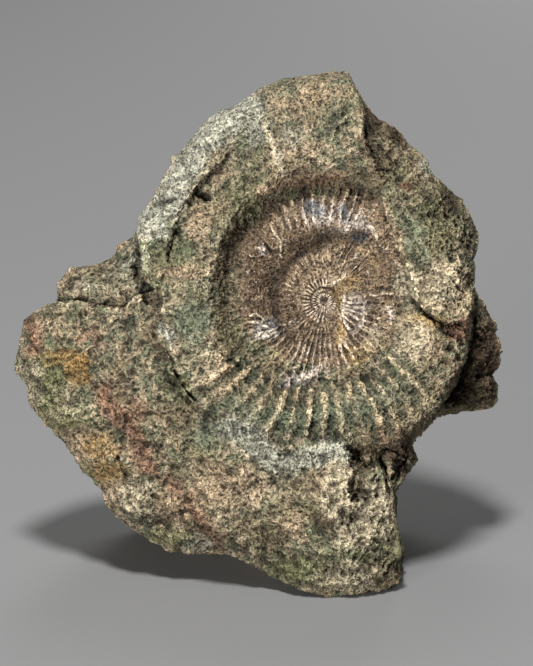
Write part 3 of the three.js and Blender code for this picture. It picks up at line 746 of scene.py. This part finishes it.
# soft ovals of each colour: middle, half width, half height, tilt in degrees, and strength
BLOBS = {
    "shell": (),
    "moss": (
        (-138, -44, 10, 18, 0, 0.8), (-128, -60, 12, 8, 0, 0.7), (-120, 8, 16, 8, 0, 0.5),
        (-75, -118, 18, 6, 0, 0.7), (-14, -132, 16, 8, 0, 0.6), (55, 40, 18, 22, 0, 0.5),
        (78, -47, 12, 8, 0, 0.8), (10, 98, 14, 10, 0, 0.4), (-62, -72, 16, 9, 0, 0.4),
    ),
    "glauconite": (
        (-66, -10, 10, 12, 0, 0.9), (-56, 4, 10, 9, 0, 0.5), (-58, -66, 12, 10, 0, 0.6),
        (5, 92, 10, 12, 0, 0.5), (-40, 76, 8, 8, 0, 0.4), (-28, -96, 6, 12, 0, 0.5),
        (44, 28, 9, 20, 15, 0.6), (38, -48, 14, 12, 0, 0.4), (-55, 35, 8, 14, 0, 0.35),
    ),
    "tan": (
        (8, -96, 11, 18, 0, 1.3), (16, -112, 15, 12, 0, 0.7), (42, -18, 18, 12, -30, 0.8),
        (57, 6, 14, 13, 0, 0.9), (-52, -38, 12, 12, 0, 0.8), (-8, 100, 28, 9, 5, 0.5),
        (-15, 73, 18, 8, 0, 0.6), (-2, 12, 18, 14, 0, 0.7), (-62, 36, 8, 12, 0, 0.6),
        (-128, 8, 12, 8, 0, 0.6), (-137, -10, 14, 8, 0, 0.6), (-122, -72, 12, 12, 0, 0.7),
        (-68, 14, 16, 4, 0, 0.8), (-82, 60, 6, 12, -25, 0.8), (-88, 34, 7, 5, 0, 0.7),
        (-45, -92, 26, 14, 0, 0.7), (-106, -101, 5, 9, 30, 1.0), (35, 30, 3.5, 20, 15, 0.7),
        (-50, 62, 9, 6, 30, 0.6), (-16, -110, 16, 10, 0, 0.6), (-125, -14, 14, 8, 0, 0.5),
        (-98, -98, 14, 10, 0, 0.8), (-75, -102, 16, 12, 0, 0.7), (26, -110, 10, 14, 0, 0.6),
        (-60, -110, 14, 9, 0, 0.5),
    ),
    "gold": (
        (18, -25, 9, 6, 30, 0.9), (12, 9, 7, 5, 20, 0.7), (30, -20, 10, 6, 0, 0.4),
        (20, 18, 10, 10, 0, 0.35), (50, -10, 12, 4, -10, 0.7),
    ),
    "ochre": (
        (-122, -34, 7, 10, 0, 1.0), (-130, -28, 16, 6, 0, 0.6), (-112, -72, 12, 10, 0, 0.55),
        (-108, -86, 12, 8, 0, 0.6), (-88, -100, 12, 7, 0, 0.45),
    ),
    "rust": (
        (-92, -56, 10, 8, 0, 0.55), (66, -14, 7, 7, 0, 0.8), (38, 56, 3, 2.5, 0, 0.9),
        (-118, -18, 10, 6, 0, 0.5),
    ),
    # umber ovals: brown of the stone in some places, and painted shade on the rear slab, on the dark side
    # of the broken end, on the coil's left wall, in the neck and down the right of the foot
    "umber_and_shade": (
        (-14, -13, 15, 9, 20, 0.6), (-34, 10, 8, 26, 0, 0.8), (-44, 24, 5, 18, 5, 0.6),
        (83, -30, 9, 32, 0, 0.9), (70, -42, 10, 14, 0, 0.8), (34, -72, 18, 12, 0, 0.7),
        (36, -110, 6, 24, 0, 0.25), (62, -35, 10, 14, 0, 0.4), (64, 52, 12, 10, 0, 0.5),
        (24, 94, 8, 10, 0, 0.9), (38, 88, 10, 12, 0, 0.9),
    ),
    "pale": (
        (-84, 38, 9, 8, 0, 0.9), (-34, 84, 8, 9, 0, 0.7), (-16, 80, 8, 9, 0, 0.4),
        (-20, -82, 14, 9, 0, 0.5), (-95, 18, 12, 8, 30, 0.5), (-79, -16, 3, 8, 20, 0.8),
        (-62, -122, 9, 8, 0, 0.5), (50, 66, 4, 5, 0, 0.6), (-118, 6, 18, 8, 0, 0.4),
    ),
    # cream ovals: pale stone, with painted highlight on the foot's lit ridge and on the face right of it
    "cream_and_highlight": (
        (8, -97, 10, 17, 0, 1.2), (12, -118, 10, 8, 0, 0.7), (10, -138, 16, 9, 0, 0.75),
        (57, 8, 13, 14, 0, 0.7), (-60, -30, 12, 14, 0, 0.4), (22, -106, 12, 14, 0, 1.2),
        (-146, -40, 8, 14, 0, 0.5), (42, -20, 14, 14, 0, 0.6), (24, -46, 12, 8, 0, 0.35),
        (-94, -100, 13, 11, 0, 0.8), (42, 9, 9, 10, 0, 0.8), (24, -20, 10, 12, 0, 0.5),
        (-100, 8, 20, 11, 0, 0.4), (-128, -52, 15, 13, 0, 0.4),
    ),
    "pearl": (
        (0, 44, 14, 7, 0, 1.0), (15, 37, 9, 7, 0, 1.0), (-12, -38, 13, 5, 20, 1.0),
        (15, -6, 6.5, 12, 0, 1.0), (-30, -14, 9, 6, 0, 0.8), (-31, 25, 5, 3, 0, 0.7),
        (32, -7, 3, 6, 0, 0.8), (23, -1, 6, 3, 0, 0.9), (-8, -25, 10, 5, 20, 0.5),
        (0, 0, 11, 11, 0, 0.55), (16, 17, 4, 3, 0, 0.6),
    ),
    "slate": (
        (-6, 45, 6, 5, 0, 0.9), (17, 32, 5, 4, 0, 1.0), (9, 43, 3, 6, 10, 0.8),
        (-28, -14, 8, 5, 0, 0.6), (-16, -41, 10, 3, 0, 0.4), (3, 33, 8, 3, 0, 0.4),
    ),
}
# soft bands of each colour: line, half width and strength
STREAKS = {
    "glauconite": (
        ([(-52, -46), (-34, -58), (-10, -60), (18, -54)], 9, 0.55),
    ),
    "tan": (
        ([(-32, 55), (-14, 60), (10, 60)], 4, 0.9),
    ),
    "gold": (
        ([(5, 6), (8, -8), (10, -20)], 2.6, 0.9),
    ),
    "rust": (
        ([(-110, -46), (-100, -62), (-92, -72), (-86, -84)], 7, 0.8),
        ([(-78, -88), (-68, -98), (-60, -110), (-54, -122)], 6, 0.65),
        ([(-147, -8), (-145, -24)], 4, 0.8), ([(-12, 59), (6, 60)], 2, 0.7),
    ),
    # umber bands: painted shade along the groove of the inner seam, under the coil's top wall and beside
    # the broken end
    "umber_and_shade": (
        ([(-24, -10), (-24, 5), (-17, 20), (0, 31)], 2.6, 0.8),
        ([(-26, 57), (-5, 57), (18, 56)], 4, 0.45), ([(20, 95), (20, 80), (26, 66)], 4, 0.6),
    ),
    "pale": (
        ([(-90, 36), (-80, 46), (-72, 62), (-62, 76), (-50, 88), (-38, 93)], 9, 1.0),
        ([(-28, 87), (-22, 64)], 3, 0.5),
        ([(-46, -64), (-34, -70), (-28, -77), (-14, -80), (0, -73), (8, -74)], 6, 0.95),
    ),
}


def painted(x, y, name):
    """How strongly a colour lies at each place, from 0 to its full strength."""
    total = np.zeros(x.shape)
    for middle_x, middle_y, wide, tall, tilt, strength in BLOBS[name]:
        total = np.maximum(total, strength * blob(x, y, (middle_x, middle_y), (wide, tall), tilt))
    for line, width, strength in STREAKS.get(name, ()):
        distance, _ = along_line(x, y, line)
        total = np.maximum(total, strength * np.exp(-(distance / width) ** 2))
    return total


def store(mesh, name, values):
    """Keeps one number for each point of the mesh, under a name that the material can read."""
    attribute = mesh.attributes.new(name, "FLOAT", "POINT")
    attribute.data.foreach_set("value", np.asarray(values, np.float32))


# relief in mm that counts as a full rib: at the coil's middle, and what each mm of radius adds
FULL_RIB = (0.3, 0.022)
crest_light = np.zeros(len(skin_x))
carved = carving(face_x, face_y) / (FULL_RIB[0] + FULL_RIB[1] * skin_radius[:face_count])
crest_light[:face_count] = np.clip(carved, -1, 1) * (1 - cover_amount[:face_count])
# how strongly the sides and the back are stained
BACK_STAINS = {"moss": 0.9, "glauconite": 0.7, "tan": 0.9, "ochre": 0.6, "rust": 0.6, "pale": 0.5}
STAIN_LUMP = 32
PATCH_STRAY = 3  # how far the edges of the patches stray, in mm
PATCH_LUMP = 10
PEARL_FLECKS = 0.7  # strength of the small flecks all over the shell
for number, name in enumerate(BLOBS):
    amount = np.zeros(len(skin_x))
    warp_x = face_x + PATCH_STRAY * lumps((face_x, face_y, face_x * 0), PATCH_LUMP, 60 + number, 2)
    warp_y = face_y + PATCH_STRAY * lumps((face_x, face_y, face_x * 0 + 30), PATCH_LUMP, 60 + number, 2)
    stains = ease(0.1, 0.5, lumps(grain_place, STAIN_LUMP, 60 + number, 3))
    amount[face_count:] = BACK_STAINS.get(name, 0) * stains[face_count:]
    amount[:face_count] = painted(warp_x, warp_y, name)
    if name == "shell":
        amount = shell_left
    if name == "pearl":
        amount = amount * np.clip(0.62 + 0.7 * crest_light, 0, 1.1)
        amount = amount + PEARL_FLECKS * shell_left * ease(0.45, 0.65, lumps(grain_place, 2.4, 77))
    store(skin, name, amount)
store(skin, "crest", crest_light)
store(skin, "painted_relief_shade", painted_relief_shade)
store(skin, "ridged", np.clip(ridged, -2, 2))
store(skin, "ring", np.repeat(np.arange(len(ring_sizes)), ring_sizes))

# ---------------------------------------------------------------------------------------------
# The flat base
# The block is cut off flat where it stands, and its skin is laid out on one sheet: the face, the
# back, the sides in four strips and the base.
# ---------------------------------------------------------------------------------------------
SHEET = 570  # side of the sheet in mm
# where the coil's middle comes on the sheet, for each of its parts
SHEET_CORNERS = {"face": (158, 151), "back": (420, 151), "base": (70, 500)}
# the strips of the sides, each a quarter of the way round
STRIP_LENGTH = 250
STRIP_WIDTH = 80
STRIP_CORNERS = ((4, 272), (262, 272), (4, 358), (262, 358))

cutter = bmesh.new()
cutter.from_mesh(skin)
everything = cutter.verts[:] + cutter.edges[:] + cutter.faces[:]
cut = bmesh.ops.bisect_plane(
    cutter, geom=everything, plane_co=(0, 0, low[2]), plane_no=(0, 0, 1), clear_inner=True)
rim_edges = [part for part in cut["geom_cut"] if isinstance(part, bmesh.types.BMEdge)]
bmesh.ops.holes_fill(cutter, edges=rim_edges, sides=0)
bmesh.ops.triangulate(cutter, faces=[face for face in cutter.faces if len(face.verts) > 4])
cutter.to_mesh(skin)
cutter.free()
skin.update()


def numbers(items, name, kind, width=1):
    """One property of all of a mesh's parts, as an array."""
    values = np.empty(len(items) * width, kind)
    items.foreach_get(name, values)
    return values.reshape(-1, width) if width > 1 else values


places = numbers(skin.vertices, "co", np.float32, 3)
loop_vertex = numbers(skin.loops, "vertex_index", np.int32)
loop_total = numbers(skin.polygons, "loop_total", np.int32)
loop_face = np.repeat(np.arange(len(skin.polygons)), loop_total)
first_loop = numbers(skin.polygons, "loop_start", np.int32)
loop_ring = numbers(skin.attributes["ring"].data, "value", np.float32)[loop_vertex]
least_ring = np.minimum.reduceat(loop_ring, first_loop)[loop_face]
on_base = np.maximum.reduceat(places[loop_vertex, 2], first_loop)[loop_face] < low[2] + 1e-5
from_centre = (places - coil_centre) / MM
flat_x = from_centre[loop_vertex, 0]
flat_y = from_centre[loop_vertex, 1] * math.sin(LEAN) + from_centre[loop_vertex, 2] * math.cos(LEAN)
angle = np.arctan2(flat_y, flat_x) % (2 * math.pi)
first_angle = angle[first_loop][loop_face]
turns_short = (first_angle - angle > math.pi).astype(int) - (angle - first_angle > math.pi)
angle = angle + 2 * math.pi * turns_short
least_angle = np.minimum.reduceat(angle, first_loop)[loop_face]
QUARTER = math.pi / 2
strip = np.clip(np.floor(least_angle / QUARTER + 1e-6), 0, 3).astype(int)
strip_part = angle / QUARTER - strip
sheet_x = flat_x + SHEET_CORNERS["face"][0]
sheet_y = flat_y + SHEET_CORNERS["face"][1]
on_side = (least_ring >= face_ring_count) & ~on_base
on_back = least_ring >= face_ring_count + SIDE_RINGS
sheet_x = np.where(on_side, np.array(STRIP_CORNERS)[strip, 0] + strip_part * STRIP_LENGTH, sheet_x)
down_side = (loop_ring - face_ring_count) / SIDE_RINGS
sheet_y = np.where(on_side, np.array(STRIP_CORNERS)[strip, 1] + down_side * STRIP_WIDTH, sheet_y)
sheet_x = np.where(on_back, flat_x + SHEET_CORNERS["back"][0], sheet_x)
sheet_y = np.where(on_back, flat_y + SHEET_CORNERS["back"][1], sheet_y)
sheet_x = np.where(on_base, places[loop_vertex, 0] / MM + SHEET_CORNERS["base"][0], sheet_x)
sheet_y = np.where(on_base, places[loop_vertex, 1] / MM + SHEET_CORNERS["base"][1], sheet_y)
sheet = skin.uv_layers.new(name="OFBake")
sheet.data.foreach_set("uv", (np.stack([sheet_x, sheet_y], axis=-1) / SHEET).astype(np.float32).ravel())

stone = bpy.data.objects.new("fossil_stone", skin)
bpy.context.scene.collection.objects.link(stone)

# ---------------------------------------------------------------------------------------------
# The look of the stone
# Sand grains of many tones, packed with green glauconite and lime, dull all over. The colours are
# laid on in turn and broken up by the grain; painted shade darkens every hollow and painted highlight
# lightens what stands out.
# ---------------------------------------------------------------------------------------------
def rgb(red, green, blue):
    """A colour given as it looks, from 0 to 255, as the renderer's linear values."""
    return tuple(((value / 255) / 12.92 if value <= 10 else ((value / 255 + 0.055) / 1.055) ** 2.4)
                 for value in (red, green, blue)) + (1,)


def maths(tree, operation, first, second=0.0):
    """A Math node; the first operand is another node's socket, the second a socket or a number."""
    node = tree.nodes.new("ShaderNodeMath")
    node.operation = operation
    tree.links.new(first, node.inputs[0])
    if isinstance(second, float):
        node.inputs[1].default_value = second
    else:
        tree.links.new(second, node.inputs[1])
    return node.outputs[0]


def mixed(tree, amount, under, over):
    """A colour mix; amount and both colours are values or sockets."""
    node = tree.nodes.new("ShaderNodeMix")
    node.data_type = "RGBA"
    for socket, value in ((node.inputs[0], amount), (node.inputs[6], under), (node.inputs[7], over)):
        if isinstance(value, bpy.types.NodeSocket):
            tree.links.new(value, socket)
        else:
            socket.default_value = value
    return node.outputs[2]


def noise(tree, place, scale, detail, roughness, distortion):
    """Soft, cloudy noise from 0 to 1."""
    node = tree.nodes.new("ShaderNodeTexNoise")
    node.inputs["Scale"].default_value = scale
    node.inputs["Detail"].default_value = detail
    node.inputs["Roughness"].default_value = roughness
    node.inputs["Distortion"].default_value = distortion
    tree.links.new(place, node.inputs["Vector"])
    return node.outputs["Fac"]


def steep(tree, value, start, end):
    """0 below start, 1 above end, and a smooth rise between."""
    node = tree.nodes.new("ShaderNodeMapRange")
    node.interpolation_type = "SMOOTHSTEP"
    tree.links.new(value, node.inputs["Value"])
    node.inputs["From Min"].default_value = start
    node.inputs["From Max"].default_value = end
    return node.outputs["Result"]


material = bpy.data.materials.new("sandstone")
material.use_nodes = True
tree = material.node_tree
shader = tree.nodes["Principled BSDF"]
place = tree.nodes.new("ShaderNodeTexCoord").outputs["Object"]


def mask(name):
    """One of the numbers stored on the skin."""
    node = tree.nodes.new("ShaderNodeAttribute")
    node.attribute_name = name
    return node.outputs["Fac"]


def scaled(tree, colour, factor):
    """A colour made lighter or darker by a factor."""
    node = tree.nodes.new("ShaderNodeVectorMath")
    node.operation = "SCALE"
    tree.links.new(colour, node.inputs[0])
    tree.links.new(factor, node.inputs["Scale"])
    return node.outputs[0]


def ranged(tree, value, start, end, low, high):
    """The value, moved from one range to another and held there."""
    node = tree.nodes.new("ShaderNodeMapRange")
    tree.links.new(value, node.inputs["Value"])
    for label, number in (("From Min", start), ("From Max", end), ("To Min", low), ("To Max", high)):
        node.inputs[label].default_value = number
    return node.outputs["Result"]


# noise: how many lumps to a metre, detail, roughness and distortion
GRAIN = (190, 3, 0.65, 0.8)
CLOUD = (42, 3, 0.6, 0.4)
STAIN = (18, 2, 0.5, 0.3)
GRIT = (1000, 2, 0.65, 0.3)
WORM_LINES = (500, 1.5, 0.5, 0.6)
grain = noise(tree, place, *GRAIN)
cloud = noise(tree, place, *CLOUD)
stain = noise(tree, place, *STAIN)
grit = noise(tree, place, *GRIT)
from_line = maths(tree, "ABSOLUTE", maths(tree, "ADD", noise(tree, place, *WORM_LINES), -0.5))
worm = ranged(tree, from_line, 0.0, 0.16, 1.0, 0.0)
fine = maths(tree, "ADD", maths(tree, "MULTIPLY", worm, 0.5), grit)
fine = maths(tree, "ADD", fine, -0.17)

GREEN_GREY = rgb(104, 104, 82)
BEIGE = rgb(158, 142, 116)
DRAB = rgb(136, 122, 96)
OLIVE = rgb(96, 102, 72)
colour = mixed(tree, steep(tree, grain, 0.42, 0.58), GREEN_GREY, BEIGE)
colour = mixed(tree, steep(tree, cloud, 0.47, 0.6), colour, DRAB)
colour = mixed(tree, maths(tree, "MULTIPLY", steep(tree, stain, 0.52, 0.66), 0.6), colour, OLIVE)
# what is stored on the skin, its colour and its strength
LAYERS = (
    ("shell", rgb(122, 101, 79), 0.9),
    ("moss", rgb(104, 106, 70), 0.75),
    ("glauconite", rgb(98, 108, 88), 0.75),
    ("tan", rgb(172, 150, 122), 0.8),
    ("gold", rgb(166, 138, 92), 0.8),
    ("ochre", rgb(154, 120, 68), 0.8),
    ("rust", rgb(134, 98, 78), 0.75),
    # umber is partly the stone's brown and partly painted shade
    ("umber_and_shade", rgb(82, 64, 48), 0.85),
    ("pale", rgb(170, 168, 150), 0.85),
    # cream is partly pale stone and partly painted highlight
    ("cream_and_highlight", rgb(180, 168, 140), 0.85),
    ("pearl", rgb(178, 166, 156), 0.9),
    ("slate", rgb(112, 118, 124), 0.85),
)
fleck = maths(tree, "ADD", grain, maths(tree, "MULTIPLY", grit, 0.7))
for name, tone, strength in LAYERS:
    broken = maths(tree, "ADD", mask(name), maths(tree, "ADD", fleck, -0.85))
    amount = maths(tree, "MULTIPLY", steep(tree, broken, 0.15, 0.75), strength)
    colour = mixed(tree, amount, colour, tone)

# the shell is mottled with lighter grains and bright flecks
LIGHT_SHELL = rgb(168, 150, 126)
SHELL_FLECK = rgb(204, 192, 172)
light_shell = maths(tree, "MULTIPLY", steep(tree, grain, 0.5, 0.64), 0.5)
colour = mixed(tree, maths(tree, "MULTIPLY", mask("shell"), light_shell), colour, LIGHT_SHELL)
bright_fleck = maths(tree, "MULTIPLY", steep(tree, grit, 0.6, 0.72), 0.6)
colour = mixed(tree, maths(tree, "MULTIPLY", mask("shell"), bright_fleck), colour, SHELL_FLECK)

# ribs are paler along their crests and darker between them, on rock and on shell
FURROW_TONES = (rgb(88, 102, 76), rgb(78, 62, 48))
CREST_TONES = (rgb(162, 142, 112), rgb(190, 174, 152))
furrow = steep(tree, maths(tree, "MULTIPLY", mask("crest"), -1.0), 0.08, 0.45)
crest_strength = ranged(tree, mask("shell"), 0.0, 1.0, 0.35, 0.6)
crest_line = maths(tree, "MULTIPLY", steep(tree, mask("crest"), 0.2, 0.8), crest_strength)
furrow_tone = mixed(tree, mask("shell"), *FURROW_TONES)
crest_tone = mixed(tree, mask("shell"), *CREST_TONES)
colour = mixed(tree, maths(tree, "MULTIPLY", furrow, 0.4), colour, furrow_tone)
colour = mixed(tree, crest_line, colour, crest_tone)

# painted shade and highlight: the colour is darkened in the hollows of the grain, the ridges, the relief
# and the ribs, and lightened where they stand out; low and high value, and factor at each
SHADES = (
    (fine, 0.3, 0.78, 0.35, 2.12),
    (mask("ridged"), -1.4, 1.1, 0.42, 1.65),
    (mask("painted_relief_shade"), -1.0, 1.0, 0.35, 1.5),
    (mask("crest"), -0.7, 1.0, 0.62, 1.22),
)
for level, *span in SHADES:
    colour = scaled(tree, colour, ranged(tree, level, *span))
STONE_ROUGHNESS = 0.85
STONE_SHINE = 0.35
GRAIN_HEIGHT = 0.002
tree.links.new(colour, shader.inputs["Base Color"])
shader.inputs["Roughness"].default_value = STONE_ROUGHNESS
shader.inputs["Specular IOR Level"].default_value = STONE_SHINE
bump = tree.nodes.new("ShaderNodeBump")
bump.inputs["Distance"].default_value = GRAIN_HEIGHT
bump.inputs["Strength"].default_value = 1.0
tree.links.new(fine, bump.inputs["Height"])
tree.links.new(bump.outputs["Normal"], shader.inputs["Normal"])
skin.materials.append(material)
skin.polygons.foreach_set("use_smooth", np.ones(len(skin.polygons), bool))

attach(stone, "root")
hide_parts("ammonite_fossil")

# ---------------------------------------------------------------------------------------------
# The floor
# A wide sheet of plain grey paper, dull all over. The stone stands on it, and it runs back out of
# sight behind the stone.
# ---------------------------------------------------------------------------------------------
FLOOR_SIZE = 12
FLOOR_GREY = (0.25, 0.25, 0.25, 1)
FLOOR_ROUGHNESS = 0.9
bpy.ops.mesh.primitive_plane_add(size=FLOOR_SIZE, location=(0, 0, low[2]))
floor = bpy.context.object
floor.name = "floor"
floor_material = bpy.data.materials.new("floor_paper")
floor_material.use_nodes = True
floor_shader = floor_material.node_tree.nodes["Principled BSDF"]
floor_shader.inputs["Base Color"].default_value = FLOOR_GREY
floor_shader.inputs["Roughness"].default_value = FLOOR_ROUGHNESS
floor.data.materials.append(floor_material)

# ---------------------------------------------------------------------------------------------
# The lights
# A round lamp high in front makes the shadow, and a softer one at the left fills it. Two weak ones
# light the floor behind and the back of the stone, in a dim grey room.
# ---------------------------------------------------------------------------------------------
STONE_MIDDLE = (0, 0, 0.1)
FLOOR_BEHIND = (0, 1.0, 0)
# name, place, what it points at, width in metres and power in watts
LAMPS = (
    ("overhead", (-0.08, -0.88, 2.2), STONE_MIDDLE, 0.36, 54),
    ("left_fill", (-1.15, -1.9, 0.3), STONE_MIDDLE, 0.6, 42),
    ("backdrop", (0.0, 1.0, 1.5), FLOOR_BEHIND, 0.9, 7.0),
    ("back_fill", (0.6, 2.1, 0.6), STONE_MIDDLE, 0.8, 9),
)
ROOM_GREY = (0.5, 0.5, 0.5, 1)
ROOM_LIGHT = 0.16
for name, place, target, size, power in LAMPS:
    lamp = bpy.data.lights.new(name, "AREA")
    lamp.shape = "DISK"
    lamp.size = size
    lamp.energy = power
    item = bpy.data.objects.new(name, lamp)
    item.location = place
    item.rotation_euler = (Vector(target) - Vector(place)).to_track_quat("-Z", "Y").to_euler()
    bpy.context.scene.collection.objects.link(item)
world = bpy.data.worlds.new("studio")
bpy.context.scene.world = world
world.use_nodes = True
world.node_tree.nodes["Background"].inputs["Color"].default_value = ROOM_GREY
world.node_tree.nodes["Background"].inputs["Strength"].default_value = ROOM_LIGHT
bpy.context.scene.view_settings.view_transform = "Standard"

# ---------------------------------------------------------------------------------------------
# The camera
# It looks square on to the leaning face from a long way off, a little left of and below the middle
# of the coil.
# ---------------------------------------------------------------------------------------------
VIEW_DISTANCE = 1.6  # metres
VIEW_HEIGHT = 333 * MM
VIEW_MIDDLE = (-29, -16)  # mm on the face
SENSOR = 36
camera_data = bpy.data.cameras.new("camera")
camera_data.sensor_width = SENSOR
camera_data.lens = SENSOR * VIEW_DISTANCE / VIEW_HEIGHT
camera = bpy.data.objects.new("camera", camera_data)
aim = to_world(*np.array(VIEW_MIDDLE, float), np.array(0.0))
forward = Vector((0, math.cos(LEAN), -math.sin(LEAN)))
camera.location = Vector(aim) - VIEW_DISTANCE * forward
camera.rotation_euler = forward.to_track_quat("-Z", "Y").to_euler()
bpy.context.scene.collection.objects.link(camera)
bpy.context.scene.camera = camera
